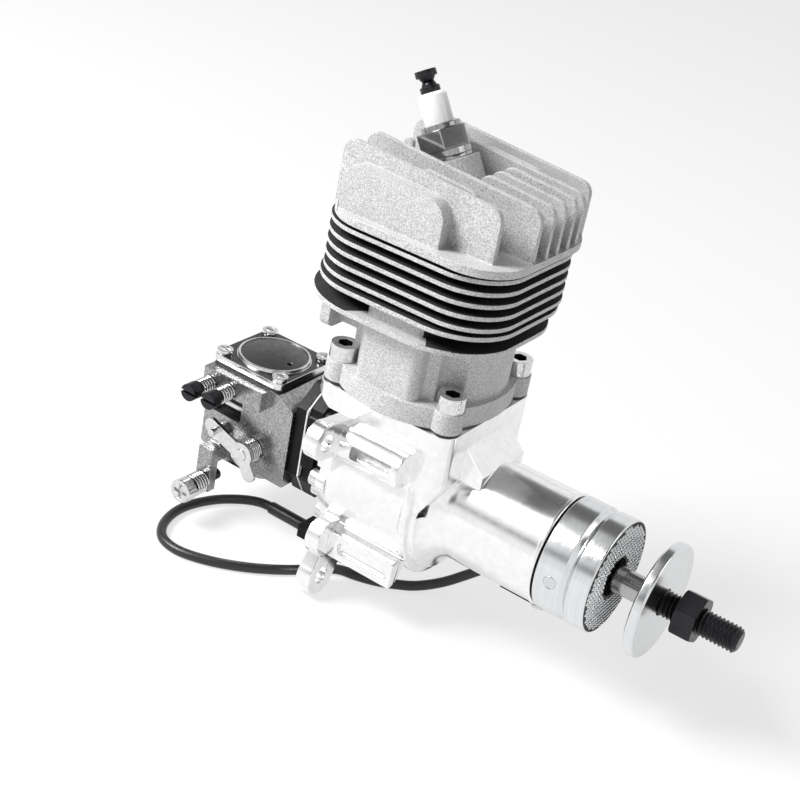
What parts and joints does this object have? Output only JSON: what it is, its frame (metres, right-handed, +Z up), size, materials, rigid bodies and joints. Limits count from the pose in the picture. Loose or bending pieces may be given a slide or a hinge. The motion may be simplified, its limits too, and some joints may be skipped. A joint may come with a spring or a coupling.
{
  "type": "model aircraft engine",
  "caption": "Single-cylinder two-stroke petrol engine for a model aircraft, with rear carburettor, reed valve, finned cylinder, propeller hub and speed sensor lead.",
  "frame": {"origin": "point where the crank axis meets the rear plane of the mounting lugs", "axes": "+X forward along the crank axis to the propeller, +Z up the cylinder axis, +Y to the port side"},
  "size_m": [0.1885, 0.0878, 0.1603],
  "materials": {
    "cast_bright": "tumbled",
    "cast_blasted": "blasted",
    "turned_alloy": "turned",
    "gasket_black": "matt",
    "gasket_paper": "paper",
    "screw_steel": "zinc plated",
    "black_oxide": "black oxide",
    "bearing_steel": "ground",
    "crank_steel": "ground",
    "rod_steel": "forged",
    "seal_rubber": "matt",
    "nickel": "nickel plated",
    "ceramic": "glazed",
    "terminal": "dark",
    "moulded_black": "moulded",
    "reed_steel": "sheet",
    "zinc_cast": "die cast",
    "cover_plate": "plated",
    "dome_dark": "painted",
    "brass": "turned",
    "linkage_steel": "plated",
    "spring_steel": "drawn",
    "magnet": "sintered",
    "lead_rubber": "satin"
  },
  "bodies": {
    "engine": {"crankcase": "cast_bright", "rear_cover": "cast_bright", "rear_cover_screws": "screw_steel", "bearing_outer_rings": "bearing_steel", "shaft_seal": "seal_rubber", "finned_cylinder": "cast_blasted", "base_gasket": "gasket_black", "base_screws": "black_oxide", "plug_shell": "nickel", "plug_insulator": "ceramic", "plug_terminal": "terminal", "plug_washer": "nickel", "reed_block": "moulded_black", "reed_petals": "reed_steel", "manifold_gasket": "gasket_paper", "intake_manifold": "moulded_black", "manifold_screws": "screw_steel", "carb_gasket": "gasket_paper", "carb_spacer": "moulded_black", "carb_body": "zinc_cast", "carb_screws": "screw_steel", "carb_diaphragms": "gasket_black", "metering_cover": "cover_plate", "cover_dome": "dome_dark", "cover_screws": "screw_steel", "pump_cover": "cover_plate", "fuel_nipple": "brass", "throttle_spring": "spring_steel", "needle_springs": "spring_steel", "idle_spring": "spring_steel", "sensor_body": "moulded_black", "sensor_screw": "screw_steel", "sensor_cable": "lead_rubber", "sensor_sleeve": "lead_rubber", "sensor_plug": "moulded_black"},
    "crank": {"crankshaft": "crank_steel", "prop_hub": "turned_alloy", "hub_key": "bearing_steel", "hub_magnet": "magnet", "bearing_inner_rings": "bearing_steel", "bearing_balls": "bearing_steel"},
    "piston_set": {"piston": "turned_alloy", "piston_rings": "bearing_steel", "wrist_pin": "bearing_steel", "circlips": "bearing_steel"},
    "rod": {"connecting_rod": "rod_steel", "crank_pin": "bearing_steel", "big_end_bearing": "bearing_steel"},
    "washer": {"prop_washer": "turned_alloy"},
    "nut": {"prop_nut": "black_oxide"},
    "throttle": {"throttle_shaft": "linkage_steel", "throttle_plate": "brass", "throttle_lever": "linkage_steel"},
    "choke": {"choke_shaft": "linkage_steel", "choke_lever": "linkage_steel", "choke_plate": "linkage_steel"},
    "high_needle": {"high_needle": "black_oxide"},
    "low_needle": {"low_needle": "black_oxide"},
    "idle_screw": {"idle_screw": "screw_steel"}
  },
  "joints": [
    {"name": "crank_spin", "type": "hinge", "parent": "engine", "child": "crank", "pos_m": [0, 0, 0], "axis": [1, 0, 0], "continuous": true},
    {"name": "piston_slide", "type": "slide", "parent": "engine", "child": "piston_set", "axis": [0, 0, 1], "range_m": [-0.026, 0]},
    {"name": "rod_swing", "type": "hinge", "parent": "piston_set", "child": "rod", "pos_m": [0.013, 0, 0.0615], "axis": [1, 0, 0], "range_deg": [-15.5, 15.5]},
    {"name": "nut_travel", "type": "slide", "parent": "crank", "child": "washer", "axis": [1, 0, 0], "range_m": [-0.0075, 0.01125]},
    {"name": "nut_turn", "type": "hinge", "parent": "washer", "child": "nut", "pos_m": [0.11, 0, 0], "axis": [1, 0, 0], "range_deg": [-2160, 3240]},
    {"name": "throttle_turn", "type": "hinge", "parent": "engine", "child": "throttle", "pos_m": [-0.0365, 0, -0.0105], "axis": [0, 1, 0], "range_deg": [0, 75], "stiffness_Nm_per_rad": 0.002, "springref_deg": -20.05},
    {"name": "choke_turn", "type": "hinge", "parent": "engine", "child": "choke", "pos_m": [-0.05, 0, -0.0105], "axis": [0, 1, 0], "range_deg": [0, 80]},
    {"name": "high_needle_turn", "type": "hinge", "parent": "engine", "child": "high_needle", "pos_m": [-0.054, -0.02, 0.007], "axis": [0, 1, 0], "range_deg": [-540, 540]},
    {"name": "low_needle_turn", "type": "hinge", "parent": "engine", "child": "low_needle", "pos_m": [-0.046, -0.02, 0.0076], "axis": [0, 1, 0], "range_deg": [-540, 540]},
    {"name": "idle_screw_turn", "type": "hinge", "parent": "engine", "child": "idle_screw", "pos_m": [-0.0491, -0.02, -0.0256], "axis": [0, 1, 0], "range_deg": [-720, 720]}
  ],
  "couplings": [
    {"joint": "nut_turn", "follows": "nut_travel", "rad_per_m": 5026.5}
  ]
}
